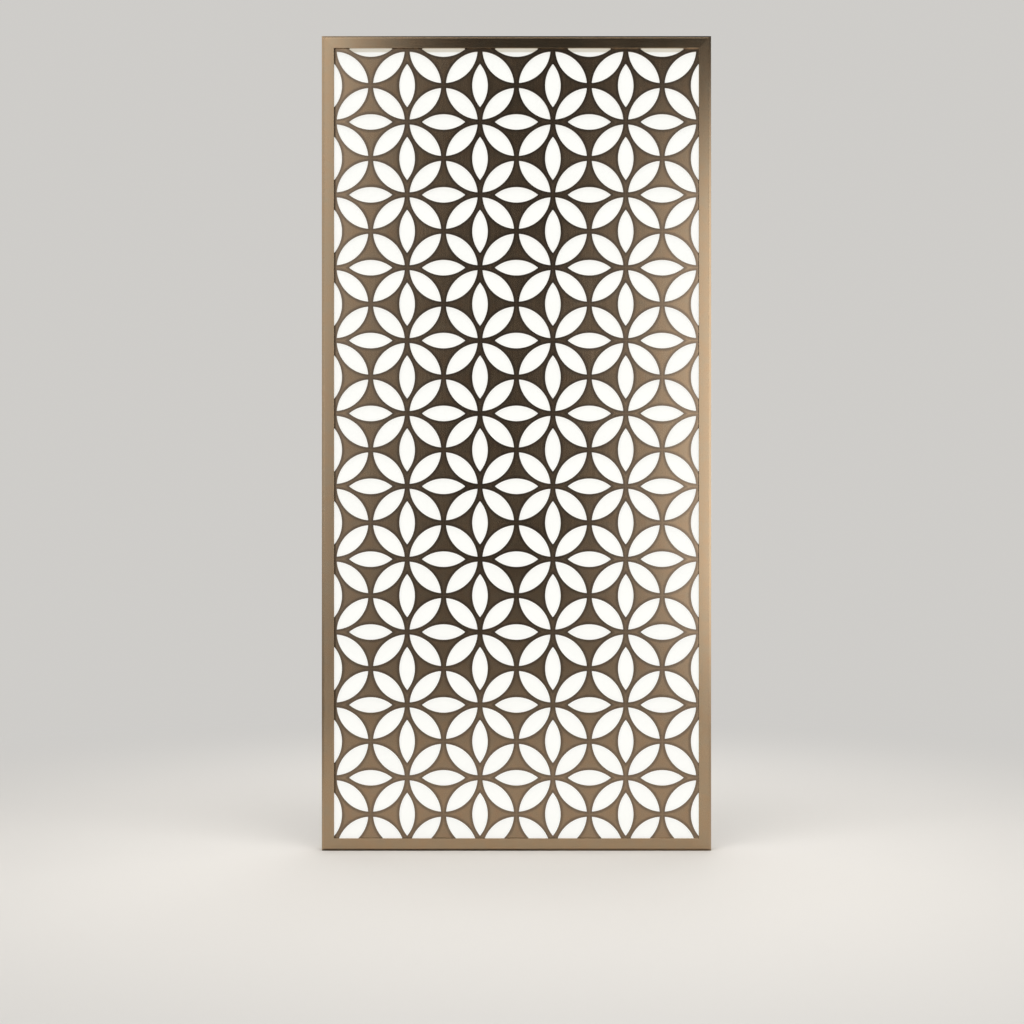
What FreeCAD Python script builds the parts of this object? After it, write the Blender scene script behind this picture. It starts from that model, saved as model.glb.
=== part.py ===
"""Lit jali screen: a cut metal panel in front of a diffuser, held in a mitred bronze frame.

Millimetres. X runs to the right, Y from the front to the back and Z up. The origin lies on
the floor, under the middle of the screen.

Pieces that run along the frame are drawn in the axes of their side: u goes inward from the
frame's outer face, v goes back from its front face, and w goes along the side.
"""
import FreeCAD
import Part
import Sketcher

import math
import os
import re
from collections import namedtuple

from FreeCAD import Placement, Rotation, Vector

DIMENSIONS = {
    # Frame section and overall size
    "screen_width": 1000.0,
    "screen_height": 2092.0,
    "frame_depth": 60.0,
    "frame_face": 32.0,
    "box_width": 20.0,
    "frame_wall": 2.0,
    "edge_bevel": 6.0,
    "lip_depth": 6.0,
    "back_recess": 4.0,
    "back_flange": 10.0,
    # Cut panel and what is stacked behind it
    "panel_thickness": 3.0,
    "panel_clearance": 1.0,
    "petal_pitch": 187.2,
    "strand_width": 12.6,
    "straight_petal_width": 39.8,
    "pattern_drop": 1.2,
    "cut_overrun": 2.0,
    "gasket_thickness": 1.5,
    "diffuser_thickness": 3.0,
    "retainer_thickness": 1.5,
    "retainer_height": 10.0,
    # Corner cleats
    "cleat_arm": 80.0,
    "cleat_clearance": 0.3,
    # Screws
    "screw_radius": 2.0,
    "screw_head_radius": 3.5,
    "screw_head_height": 1.8,
    "screw_clearance": 0.1,
    "cleat_screw_length": 9.0,
    "screw_run_out": 3.0,
    "back_screw_inset": 64.0,
    "retainer_screw_gap": 30.0,
    # Back panel and cable entry
    "back_thickness": 2.0,
    "grommet_bore_radius": 3.5,
    "grommet_neck_radius": 6.0,
    "grommet_flange_radius": 9.0,
    "grommet_flange_thickness": 1.5,
    "cable_entry_gap": 26.0,
    # Lighting
    "led_bar_inset": 70.0,
    "led_bar_width": 12.0,
    "led_bar_thickness": 1.6,
    "led_first_row": 122.0,
    "led_end_margin": 40.0,
    "lens_radius": 6.0,
    "driver_length": 200.0,
    "driver_width": 52.0,
    "driver_height": 20.0,
    "driver_wall": 1.5,
    "driver_cover_thickness": 1.5,
    "driver_tab": 14.0,
    "driver_left": 60.0,
    "driver_gap": 12.0,
    "board_thickness": 1.6,
    "board_margin": 3.0,
    "board_lift": 4.0,
    "supply_hole_radius": 3.5,
    "lead_radius": 2.0,
    "lead_lift": 5.0,
    "lead_bend": 30.0,
    "lead_offset": 16.0,
    "clip_width": 10.0,
    "fit_gap": 0.1,
    # Wall fixing inserts
    "insert_bore_radius": 2.5,
    "insert_radius": 4.5,
    "insert_bulge_radius": 6.0,
    "insert_length": 14.0,
    "wall_fixing_low": 300.0,
    "wall_fixing_drop": 192.0,
    # Levelling feet
    "foot_inset": 150.0,
    "foot_gap": 1.0,
    "foot_lift": 0.5,
    "pad_radius": 14.0,
    "pad_height": 8.0,
    "pad_floor": 2.4,
    "pad_clearance": 1.0,
    "stud_radius": 5.0,
    "stud_foot_radius": 8.0,
    "stud_foot_height": 2.0,
    "stud_above_web": 14.0,
    "stud_key_radius": 2.9,
    "stud_key_depth": 5.0,
    "swivel_clearance": 0.3,
    "thread_clearance": 0.1,
    "foot_insert_radius": 7.0,
    "foot_insert_flange": 8.0,
    "foot_insert_flange_thickness": 1.5,
    "foot_insert_gap": 1.5,
}

DERIVED = {
    "gasket_setback": "lip_depth + panel_thickness",
    "diffuser_setback": "gasket_setback + gasket_thickness",
    "retainer_setback": "diffuser_setback + diffuser_thickness",
    "back_setback": "frame_depth - back_recess",
    "flange_setback": "back_setback - frame_wall",
    "sheet_edge": "box_width + panel_clearance",
    "sheet_half_width": "screen_width / 2 - sheet_edge",
    "bevel_inside": "edge_bevel + frame_wall * (sqrt(2) - 1)",
    "cleat_front": "edge_bevel + frame_wall",
    "cleat_near": "frame_wall + cleat_clearance",
    "cleat_far": "box_width - frame_wall - cleat_clearance",
    "cleat_back": "frame_depth - frame_wall - cleat_clearance",
    "cleat_screw_setback": "(cleat_front + cleat_back) / 2",
    "screw_hole": "screw_radius + screw_clearance",
    "retainer_screw_setback": "retainer_setback + (retainer_height + retainer_thickness) / 2",
    "retainer_screw_inset": "cleat_arm + retainer_screw_gap",
    "flange_screw_inset": "box_width + back_flange / 2",
    "back_face": "frame_depth / 2 - back_recess",
    "led_pitch": "(screen_height - 2 * led_first_row) / led_gaps",
    "driver_middle": "led_first_row - led_bar_width / 2 - driver_gap - driver_width / 2",
    "lead_rise": "driver_width * 0.2",
    "cable_entry_x": "driver_left + driver_length + driver_tab + cable_entry_gap",
    "bar_left": "screen_width / 2 - led_bar_inset",
    "lead_x": "bar_left + lead_offset",
    "foot_x": "screen_width / 2 - foot_inset",
    "foot_setback": "retainer_setback + retainer_height + foot_gap + foot_insert_flange",
    "pad_top": "foot_lift + pad_height",
    "stud_seat": "foot_lift + pad_floor",
}

LED_ROWS = 12
LEDS_PER_BAR = 7
PETAL_COLUMNS = 5
STILE_SCREWS = 7
RAIL_SCREWS = 4

Side = namedtuple("Side", "name run screws angle corner_x corner_z")
LEFT = Side("left", "screen_height", STILE_SCREWS, 0, "-screen_width / 2", "0")
RIGHT = Side("right", "screen_height", STILE_SCREWS, 180, "screen_width / 2", "screen_height")
BOTTOM = Side("bottom", "screen_width", RAIL_SCREWS, -90, "screen_width / 2", "0")
TOP = Side("top", "screen_width", RAIL_SCREWS, 90, "-screen_width / 2", "screen_height")
SIDES = (LEFT, RIGHT, TOP, BOTTOM)

NORMAL_SIGN = {"XY_Plane": "", "XZ_Plane": "-", "YZ_Plane": ""}

doc = FreeCAD.newDocument("jali_screen")
dims = doc.addObject("Spreadsheet::Sheet", "dims")
for row, (alias, value) in enumerate(DIMENSIONS.items(), start=1):
    dims.set(f"A{row}", alias)
    dims.set(f"B{row}", str(value))
    dims.setAlias(f"B{row}", alias)
doc.recompute()

pieces = []


def formula(text):
    """Spells a size out in the cells of the sheet."""
    def spell(match):
        name = match.group(0)
        if name in DIMENSIONS:
            return f"dims.{name}"
        if name in DERIVED:
            return f"({formula(DERIVED[name])})"
        return str(LED_ROWS - 1) if name == "led_gaps" else name
    return re.sub(r"[a-z][a-z_0-9]*", spell, text)


def measure(text):
    """The value of a size in millimetres."""
    return float(dims.evalExpression(formula(text)))


def settle(piece, x="0", y="0", z="0", rotation=Rotation()):
    """Turns a piece and ties the place of its own origin to the sheet."""
    piece.Placement = Placement(Vector(), rotation)
    for axis, text in zip("xyz", (x, y, z)):
        piece.setExpression(f"Placement.Base.{axis}", formula(text))


def side_turn(side):
    """How the axes of a side are turned in the screen."""
    return Rotation(Vector(0, 1, 0), side.angle)


def settle_on_side(piece, side):
    """Puts a piece drawn in a side's axes where that side stands."""
    settle(piece, side.corner_x, "-frame_depth / 2", side.corner_z, side_turn(side))


def side_placement(side):
    """The place of a side's axes in the screen, in numbers."""
    corner = Vector(measure(side.corner_x), measure("-frame_depth / 2"), measure(side.corner_z))
    return Placement(corner, side_turn(side))


def in_screen(side, u, w):
    """The screen's x and z of a point of a side, spelled out."""
    return {
        "left": (f"{side.corner_x} + {u}", w),
        "right": (f"{side.corner_x} - ({u})", f"{side.corner_z} - ({w})"),
        "bottom": (f"{side.corner_x} - ({w})", u),
        "top": (f"{side.corner_x} + {w}", f"{side.corner_z} - ({u})"),
    }[side.name]


def new_body(label):
    """An empty body that becomes a piece of its own."""
    body = doc.addObject("PartDesign::Body", label)
    body.Label = label
    pieces.append(body)
    return body


def new_block(label, size, place):
    """A plain block whose size and place are tied to the sheet."""
    block = doc.addObject("Part::Box", label)
    block.Label = label
    for name, text in zip(("Length", "Width", "Height"), size):
        block.setExpression(name, formula(text))
    settle(block, *place)
    pieces.append(block)
    return block


def new_feature(label, shape, base=Vector()):
    """A piece whose shape is worked out here."""
    feature = doc.addObject("Part::Feature", label)
    feature.Label = label
    feature.Shape = shape
    feature.Placement = Placement(base, Rotation())
    pieces.append(feature)
    return feature


def sketch_on(body, plane, offset="0"):
    """An empty sketch on one of the body's planes, shifted along the axis across it."""
    sketch = body.newObject("Sketcher::SketchObject", "Sketch")
    support = next(item for item in body.Origin.OriginFeatures if item.Role == plane)
    sketch.AttachmentSupport = [(support, "")]
    sketch.MapMode = "FlatFace"
    sketch.setExpression("AttachmentOffset.Base.z", formula(f"{NORMAL_SIGN[plane]}({offset})"))
    return sketch


def tie_points(sketch, points):
    """Ties the points of a sketch to the sheet: geometry, vertex, x and y of each."""
    for geometry, vertex, x, y in points:
        for kind, text in (("DistanceX", x), ("DistanceY", y)):
            tie = Sketcher.Constraint(kind, -1, 1, geometry, vertex, measure(text))
            number = sketch.addConstraint(tie)
            sketch.setExpression(f"Constraints[{number}]", formula(text))


def outline(sketch, corners):
    """Draws a closed outline whose corners are tied to the sheet."""
    first = sketch.GeometryCount
    count = len(corners)
    spots = [Vector(measure(x), measure(y), 0) for x, y in corners]
    for start, end in zip(spots, spots[1:] + spots[:1]):
        sketch.addGeometry(Part.LineSegment(start, end))
    for index in range(count):
        before = first + (index - 1) % count
        sketch.addConstraint(Sketcher.Constraint("Coincident", before, 2, first + index, 1))
    tie_points(sketch, [(first + i, 1, x, y) for i, (x, y) in enumerate(corners)])


def rectangle(sketch, left, low, right, high):
    """Draws a rectangle between two corners."""
    outline(sketch, [(left, low), (right, low), (right, high), (left, high)])


def circles(sketch, centres, radius):
    """Draws equal circles, their centres and radius tied to the sheet."""
    for x, y in centres:
        spot = Vector(measure(x), measure(y), 0)
        circle = sketch.addGeometry(Part.Circle(spot, Vector(0, 0, 1), measure(radius)))
        tie = sketch.addConstraint(Sketcher.Constraint("Radius", circle, measure(radius)))
        sketch.setExpression(f"Constraints[{tie}]", formula(radius))
        tie_points(sketch, [(circle, 3, x, y)])


def pad(body, sketch, length, backward=False):
    """Raises a sketch off its plane."""
    feature = body.newObject("PartDesign::Pad", "Pad")
    feature.Profile = sketch
    feature.setExpression("Length", formula(length))
    feature.Reversed = backward
    sketch.Visibility = False
    return feature


def pocket(body, sketch, depth):
    """Cuts a sketch into the body, against the direction of its plane."""
    feature = body.newObject("PartDesign::Pocket", "Pocket")
    feature.Profile = sketch
    feature.Type = "Length"
    feature.setExpression("Length", formula(depth))
    return feature


def cut_through(body, sketch):
    """Cuts a sketch right through the body, both ways."""
    feature = body.newObject("PartDesign::Pocket", "Pocket")
    feature.Profile = sketch
    feature.Type = "ThroughAll"
    feature.SideType = "Symmetric"
    return feature


def turned(label, corners):
    """A body turned about its own Z axis from an outline of radius and height."""
    body = new_body(label)
    sketch = sketch_on(body, "XZ_Plane")
    outline(sketch, corners)
    feature = body.newObject("PartDesign::Revolution", "Revolution")
    feature.Profile = sketch
    feature.ReferenceAxis = (sketch, ["V_Axis"])
    feature.Angle = 360
    return body


def turned_shape(corners):
    """The solid turned about Z from an outline of radius and height in numbers."""
    points = [Vector(radius, 0, height) for radius, height in corners]
    face = Part.Face(Part.makePolygon(points + points[:1]))
    return face.revolve(Vector(), Vector(0, 0, 1), 360)


def spread(first, last, count):
    """Evenly spaced places from the first to the last, spelled out."""
    return [f"({first}) + {i} * (({last}) - ({first})) / {count - 1}" for i in range(count)]


def retainer_places(side):
    """Places along a side of the screws that hold its retainer."""
    inset = "retainer_screw_inset"
    return spread(inset, f"{side.run} - {inset}", side.screws)


def cleat_places(side):
    """Places along a side of the screws that hold the cleats in its ends."""
    near = ["cleat_arm * 0.45", "cleat_arm * 0.8"]
    return near + [f"{side.run} - {place}" for place in near]


def back_places(side):
    """Places along a side of the screws that hold the back panel."""
    inset = "back_screw_inset"
    return spread(inset, f"{side.run} - {inset}", side.screws)


def frame_member(label, side):
    """A hollow frame member with a front lip and a back flange, mitred at both ends."""
    body = new_body(label)
    section = sketch_on(body, "XY_Plane")
    outline(section, [
        ("0", "edge_bevel"), ("edge_bevel", "0"),
        ("frame_face", "0"), ("frame_face", "lip_depth"),
        ("frame_face - frame_wall", "lip_depth"), ("frame_face - frame_wall", "frame_wall"),
        ("box_width", "frame_wall"), ("box_width", "flange_setback"),
        ("box_width + back_flange", "flange_setback"),
        ("box_width + back_flange", "back_setback"),
        ("box_width", "back_setback"), ("box_width", "frame_depth"), ("0", "frame_depth"),
    ])
    outline(section, [
        ("frame_wall", "bevel_inside"), ("bevel_inside", "frame_wall"),
        ("box_width - frame_wall", "frame_wall"),
        ("box_width - frame_wall", "frame_depth - frame_wall"),
        ("frame_wall", "frame_depth - frame_wall"),
    ])
    pad(body, section, side.run)

    mitres = sketch_on(body, "XZ_Plane")
    beyond = "frame_face + back_flange"
    outline(mitres, [("-1", "-1"), (beyond, "-1"), (beyond, beyond)])
    outline(mitres, [
        ("-1", f"{side.run} + 1"), (beyond, f"{side.run} - ({beyond})"),
        (beyond, f"{side.run} + 1"),
    ])
    cut_through(body, mitres)

    web_holes = sketch_on(body, "YZ_Plane", "box_width")
    spots = [("retainer_screw_setback", place) for place in retainer_places(side)]
    spots += [("cleat_screw_setback", place) for place in cleat_places(side)]
    circles(web_holes, spots, "screw_hole")
    pocket(body, web_holes, "frame_wall")

    flange_holes = sketch_on(body, "XZ_Plane", "flange_setback")
    circles(flange_holes, [("flange_screw_inset", place) for place in back_places(side)],
            "screw_hole")
    pocket(body, flange_holes, "frame_wall")
    settle_on_side(body, side)
    return body


def wall_fixing_places(side):
    """Places of the wall fixing inserts along a stile."""
    heights = ["wall_fixing_low", "screen_height - wall_fixing_drop"]
    return heights if side is LEFT else [f"{side.run} - ({height})" for height in heights]


def build_frame():
    """The four members, the stiles drilled for wall fixings, the bottom rail for the feet."""
    for side in (LEFT, RIGHT):
        stile = frame_member(f"{side.name}_stile", side)
        fixings = sketch_on(stile, "XZ_Plane", "frame_depth - frame_wall")
        circles(fixings, [("box_width / 2", place) for place in wall_fixing_places(side)],
                "insert_radius + screw_clearance")
        pocket(stile, fixings, "frame_wall")

    frame_member("top_rail", TOP)

    rail = frame_member("bottom_rail", BOTTOM)
    feet = [("foot_setback", "foot_inset"), ("foot_setback", "screen_width - foot_inset")]
    pad_holes = sketch_on(rail, "YZ_Plane", "frame_wall")
    circles(pad_holes, feet, "pad_radius + pad_clearance")
    pocket(rail, pad_holes, "frame_wall")
    insert_holes = sketch_on(rail, "YZ_Plane", "box_width")
    circles(insert_holes, feet, "foot_insert_radius + screw_clearance")
    pocket(rail, insert_holes, "frame_wall")


def build_cleats():
    """Angle blocks that join the hollow members inside each corner."""
    corners = {LEFT: "bottom_left", BOTTOM: "bottom_right", RIGHT: "top_right", TOP: "top_left"}
    for side, corner in corners.items():
        body = new_body(f"corner_cleat_{corner}")
        angle = sketch_on(body, "XZ_Plane", "cleat_front")
        outline(angle, [
            ("cleat_near", "cleat_near"), ("cleat_arm", "cleat_near"),
            ("cleat_arm", "cleat_far"), ("cleat_far", "cleat_far"),
            ("cleat_far", "cleat_arm"), ("cleat_near", "cleat_arm"),
        ])
        pad(body, angle, "cleat_back - cleat_front", True)
        upright = sketch_on(body, "YZ_Plane", "cleat_far")
        circles(upright, [("cleat_screw_setback", place) for place in cleat_places(side)[:2]],
                "screw_hole")
        pocket(body, upright, "cleat_screw_length")
        level = sketch_on(body, "XY_Plane", "cleat_far")
        circles(level, [(place, "cleat_screw_setback") for place in cleat_places(side)[:2]],
                "screw_hole")
        pocket(body, level, "cleat_screw_length")
        settle_on_side(body, side)


def petal(centre, angle, half_length, half_width):
    """A leaf-shaped outline between two arcs, lying along the given angle."""
    along = Vector(math.cos(angle), 0, math.sin(angle))
    across = Vector(-along.z, 0, along.x)
    tip = centre + along * half_length
    tail = centre - along * half_length
    upper = Part.Arc(tip, centre + across * half_width, tail).toShape()
    lower = Part.Arc(tail, centre - across * half_width, tip).toShape()
    return Part.Wire([upper, lower])


def petal_lattice(window):
    """Every petal whose box meets the window, as outlines.

    Circles of one pitch stand on the middles of a square lattice's sides. The leaves where
    they overlap are cut on the diagonals, and like leaves along the sides themselves.
    """
    pitch = measure("petal_pitch")
    arc = (pitch - measure("strand_width")) / 2
    step = math.hypot(pitch, pitch) / 4
    diagonal_half_width = arc - step
    straight_half_width = measure("straight_petal_width") / 2
    leaves = {}
    for name, half_width in (("diagonal", diagonal_half_width), ("straight", straight_half_width)):
        leaves[name] = (math.sqrt(2 * half_width * arc - half_width ** 2), half_width)

    left = -PETAL_COLUMNS * pitch / 2
    top = measure("screen_height - frame_face - pattern_drop")
    columns = math.ceil((window.XMax - window.XMin) / pitch) + 2
    rows = math.ceil((window.ZMax - window.ZMin) / pitch) + 2
    first_column = math.floor((window.XMin - left) / pitch)
    outlines = []
    for column in range(first_column, first_column + columns):
        for line in range(-1, rows):
            node = Vector(left + column * pitch, 0, top - line * pitch)
            outlines.append(petal(node + Vector(pitch / 2, 0, 0), 0, *leaves["straight"]))
            outlines.append(petal(node - Vector(0, 0, pitch / 2), math.pi / 2,
                                  *leaves["straight"]))
            cell = node + Vector(pitch / 2, 0, -pitch / 2)
            for quarter in range(4):
                angle = math.pi / 4 + quarter * math.pi / 2
                out = Vector(math.cos(angle), 0, math.sin(angle)) * step
                outlines.append(petal(cell + out, angle, *leaves["diagonal"]))
    return [shape for shape in outlines if shape.BoundBox.intersect(window)]


def plain_sheet(half_width, low, high):
    """A rectangular outline in the plane of the screen."""
    return Part.makePolygon([
        Vector(-half_width, 0, low), Vector(half_width, 0, low),
        Vector(half_width, 0, high), Vector(-half_width, 0, high), Vector(-half_width, 0, low),
    ])


def build_panel():
    """The cut sheet: whole petals inside, petals cut off straight behind the frame's lip."""
    overrun = measure("cut_overrun")
    low = measure("frame_face") - overrun
    high = measure("screen_height - frame_face") + overrun
    edge = plain_sheet(measure("screen_width / 2 - frame_face") + overrun, low, high)
    window = Part.Face(edge)
    whole = Part.Face(petal(Vector(), 0, measure("petal_pitch / 4"), measure("strand_width")))
    smallest = whole.Area / 10
    holes = []
    for shape in petal_lattice(window.BoundBox):
        if window.BoundBox.isInside(shape.BoundBox):
            holes.append(shape)
            continue
        for rest in Part.Face(shape).common(window).Faces:
            if rest.Area > smallest:
                holes.append(rest.OuterWire)
    border = plain_sheet(measure("sheet_half_width"), measure("sheet_edge"),
                         measure("screen_height - sheet_edge"))
    face = Part.makeFace([border] + holes, "Part::FaceMakerBullseye")
    sheet = face.extrude(Vector(0, measure("panel_thickness"), 0))
    new_feature("jali_panel", sheet, Vector(0, measure("lip_depth - frame_depth / 2"), 0))


def build_stack():
    """Gaskets, diffuser and retainers behind the cut sheet."""
    edge = "frame_face - cut_overrun - panel_clearance"
    reach = "frame_face - frame_wall"
    for side in SIDES:
        upright = side.run == "screen_height"
        gasket = new_body(f"gasket_{side.name}")
        strip = sketch_on(gasket, "XY_Plane", "sheet_edge" if upright else edge)
        rectangle(strip, "sheet_edge", "gasket_setback", edge, "diffuser_setback")
        inset = "sheet_edge" if upright else f"({edge})"
        pad(gasket, strip, f"{side.run} - 2 * {inset}")
        settle_on_side(gasket, side)

    new_block("diffuser_sheet",
              ("2 * sheet_half_width", "diffuser_thickness", "screen_height - 2 * sheet_edge"),
              ("-sheet_half_width", "diffuser_setback - frame_depth / 2", "sheet_edge"))

    for side in SIDES:
        upright = side.run == "screen_height"
        body = new_body(f"retainer_{side.name}")
        start = "sheet_edge" if upright else f"({reach} + panel_clearance)"
        section = sketch_on(body, "XY_Plane", start)
        back = "retainer_setback + retainer_height"
        outline(section, [
            ("box_width", "retainer_setback"), (reach, "retainer_setback"),
            (reach, "retainer_setback + retainer_thickness"),
            ("box_width + retainer_thickness", "retainer_setback + retainer_thickness"),
            ("box_width + retainer_thickness", back), ("box_width", back),
        ])
        pad(body, section, f"{side.run} - 2 * {start}")
        holes = sketch_on(body, "YZ_Plane", "box_width + retainer_thickness")
        circles(holes, [("retainer_screw_setback", place) for place in retainer_places(side)],
                "screw_hole")
        pocket(body, holes, "retainer_thickness")
        settle_on_side(body, side)


def screw(length):
    """A pan-head screw with a hexagon recess; its head stands on Z = 0 and points up."""
    radius = measure("screw_radius")
    head = measure("screw_head_radius")
    height = measure("screw_head_height")
    solid = turned_shape([
        (0, -length), (radius * 0.8, -length), (radius, -length + radius * 0.2), (radius, 0),
        (head, 0), (head, height * 0.5), (head * 0.8, height), (0, height),
    ])
    key = [Vector(radius * 0.7 * math.cos(step * math.pi / 3),
                  radius * 0.7 * math.sin(step * math.pi / 3), height * 0.4) for step in range(7)]
    return solid.cut(Part.Face(Part.makePolygon(key)).extrude(Vector(0, 0, height)))


HEAD_INWARD = Rotation(Vector(0, 1, 0), 90)
HEAD_TO_BACK = Rotation(Vector(1, 0, 0), -90)
HEAD_TO_FRONT = Rotation(Vector(1, 0, 0), 90)


def moved(shape, placement):
    """A copy of a shape at another place."""
    copy = shape.copy()
    copy.Placement = placement
    return copy


def build_frame_screws():
    """Screws of the cleats, the retainers and the back panel, each kind one group."""
    cleat_screw = screw(measure("cleat_screw_length"))
    retainer_screw = screw(measure("retainer_thickness + frame_wall + screw_run_out"))
    back_screw = screw(measure("back_thickness + frame_wall + screw_run_out"))
    groups = {"corner_screws": [], "retainer_screws": [], "back_screws": []}
    for side in SIDES:
        frame = side_placement(side)
        for place in cleat_places(side):
            spot = Vector(measure("box_width"), measure("cleat_screw_setback"), measure(place))
            groups["corner_screws"].append(
                moved(cleat_screw, frame * Placement(spot, HEAD_INWARD)))
        for place in retainer_places(side):
            spot = Vector(measure("box_width + retainer_thickness"),
                          measure("retainer_screw_setback"), measure(place))
            groups["retainer_screws"].append(
                moved(retainer_screw, frame * Placement(spot, HEAD_INWARD)))
        for place in back_places(side):
            spot = Vector(measure("flange_screw_inset"),
                          measure("back_setback + back_thickness"), measure(place))
            groups["back_screws"].append(
                moved(back_screw, frame * Placement(spot, HEAD_TO_BACK)))
    for label, solids in groups.items():
        new_feature(label, Part.makeCompound(solids))


def driver_tab_places():
    """Where the two end tabs of the driver are screwed to the back panel."""
    return [("driver_left - driver_tab / 2", "driver_middle"),
            ("driver_left + driver_length + driver_tab / 2", "driver_middle")]


def build_back():
    """The back panel in the rear rebate, and the grommet of the cable entry."""
    body = new_body("back_panel")
    sheet = sketch_on(body, "XZ_Plane")
    rectangle(sheet, "-sheet_half_width", "sheet_edge", "sheet_half_width",
              "screen_height - sheet_edge")
    pad(body, sheet, "back_thickness", True)
    holes = sketch_on(body, "XZ_Plane")
    spots = [in_screen(side, "flange_screw_inset", place)
             for side in SIDES for place in back_places(side)]
    circles(holes, spots + driver_tab_places(), "screw_hole")
    pocket(body, holes, "back_thickness")
    entry = sketch_on(body, "XZ_Plane")
    circles(entry, [("cable_entry_x", "driver_middle")],
            "grommet_neck_radius + screw_clearance")
    pocket(body, entry, "back_thickness")
    settle(body, y="back_face")

    lip = "back_thickness + grommet_flange_thickness"
    grommet = turned("cable_grommet", [
        ("grommet_bore_radius", "-grommet_flange_thickness"),
        ("grommet_flange_radius", "-grommet_flange_thickness"),
        ("grommet_flange_radius", "0"), ("grommet_neck_radius", "0"),
        ("grommet_neck_radius", "back_thickness"), ("grommet_flange_radius", "back_thickness"),
        ("grommet_flange_radius", lip), ("grommet_bore_radius", lip),
    ])
    settle(grommet, "cable_entry_x", "back_face", "driver_middle", HEAD_TO_BACK)


def led_row(index):
    """Height of the middle of an LED bar."""
    return f"led_first_row + {index} * led_pitch"


def build_lights():
    """LED bars on the back panel, with their lenses and connectors."""
    lenses = []
    connectors = []
    face = measure("back_face")
    bar_face = face - measure("led_bar_thickness")
    radius = measure("lens_radius")
    dome = Part.makeSphere(radius, Vector(), Vector(0, -1, 0), 0, 90, 360)
    reach = measure("bar_left - led_end_margin")
    gap = measure("fit_gap")
    plug = Part.makeBox(measure("lead_offset - lead_radius") - 2 * gap,
                        measure("lead_lift + lead_radius"), measure("led_bar_width"))
    for row in range(LED_ROWS):
        height = led_row(row)
        new_block(f"led_bar_{row + 1:02d}",
                  ("2 * bar_left", "led_bar_thickness", "led_bar_width"),
                  ("-bar_left", "back_face - led_bar_thickness", f"{height} - led_bar_width / 2"))
        middle = measure(height)
        for lamp in range(LEDS_PER_BAR):
            across = reach * (2 * lamp / (LEDS_PER_BAR - 1) - 1)
            lenses.append(dome.translated(Vector(across, bar_face, middle)))
        connectors.append(plug.translated(Vector(
            -measure("lead_x - lead_radius") + gap, face - measure("lead_lift + lead_radius"),
            middle - measure("led_bar_width / 2"))))
    new_feature("led_lenses", Part.makeCompound(lenses))
    new_feature("bar_connectors", Part.makeCompound(connectors))


def build_driver():
    """The driver that feeds the bars: open case with end tabs, board, cover and screws."""
    half = "driver_width / 2"
    boss = "screw_radius + 2 * driver_wall"
    case = new_body("driver_case")
    shell = sketch_on(case, "XZ_Plane")
    rectangle(shell, "0", f"-{half}", "driver_length", half)
    pad(case, shell, "driver_height")
    hollow = sketch_on(case, "XZ_Plane", "-driver_height")
    rectangle(hollow, "driver_wall", f"driver_wall - {half}",
              "driver_length - driver_wall", f"{half} - driver_wall")
    pocket(case, hollow, "driver_height - driver_wall")
    tabs = sketch_on(case, "XZ_Plane")
    rectangle(tabs, "-driver_tab", "-driver_tab / 2", "driver_length + driver_tab",
              "driver_tab / 2")
    pad(case, tabs, "driver_wall")
    corners = [(x, z) for x in (boss, f"driver_length - ({boss})")
               for z in (f"{boss} - {half}", f"{half} - ({boss})")]
    bosses = sketch_on(case, "XZ_Plane")
    circles(bosses, corners, boss)
    pad(case, bosses, "driver_height")
    threads = sketch_on(case, "XZ_Plane", "-driver_height")
    circles(threads, corners, "screw_hole")
    pocket(case, threads, "driver_height - driver_wall")
    tab_holes = sketch_on(case, "XZ_Plane", "-driver_wall")
    circles(tab_holes, [("-driver_tab / 2", "0"), ("driver_length + driver_tab / 2", "0")],
            "screw_hole")
    pocket(case, tab_holes, "driver_wall")
    lead_hole = sketch_on(case, "YZ_Plane", "driver_wall")
    circles(lead_hole, [("-lead_lift", "lead_rise")], "lead_radius + fit_gap")
    pocket(case, lead_hole, "driver_wall")
    supply_hole = sketch_on(case, "YZ_Plane", "driver_length")
    circles(supply_hole, [("-driver_height / 2", "0")], "supply_hole_radius")
    pocket(case, supply_hole, "driver_wall")
    settle(case, "driver_left", "back_face", "driver_middle")

    cover = new_body("driver_cover")
    lid = sketch_on(cover, "XZ_Plane")
    rectangle(lid, "0", f"-{half}", "driver_length", half)
    pad(cover, lid, "driver_cover_thickness")
    lid_holes = sketch_on(cover, "XZ_Plane", "-driver_cover_thickness")
    circles(lid_holes, corners, "screw_hole")
    pocket(cover, lid_holes, "driver_cover_thickness")
    settle(cover, "driver_left", "back_face - driver_height", "driver_middle")

    side_gap = "(2 * (screw_radius + 2 * driver_wall) + board_margin)"
    board_y = "back_face - driver_wall - board_lift - board_thickness"
    new_block("driver_board",
              (f"driver_length - 2 * {side_gap}", "board_thickness",
               "driver_width - 2 * (driver_wall + board_margin)"),
              (f"driver_left + {side_gap}", board_y,
               f"driver_middle - {half} + driver_wall + board_margin"))
    build_driver_contents(side_gap, board_y)

    origin = Vector(measure("driver_left"), measure("back_face"), measure("driver_middle"))
    cover_screw = screw(measure("driver_cover_thickness + driver_height * 0.4"))
    tab_screw = screw(measure("driver_wall + back_thickness"))
    height = measure("driver_height + driver_cover_thickness")
    solids = [moved(cover_screw, Placement(
        origin + Vector(measure(x), -height, measure(z)), HEAD_TO_FRONT)) for x, z in corners]
    for x, z in driver_tab_places():
        spot = Vector(measure(x), measure("back_face - driver_wall"), measure(z))
        solids.append(moved(tab_screw, Placement(spot, HEAD_TO_FRONT)))
    new_feature("driver_screws", Part.makeCompound(solids))


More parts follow.
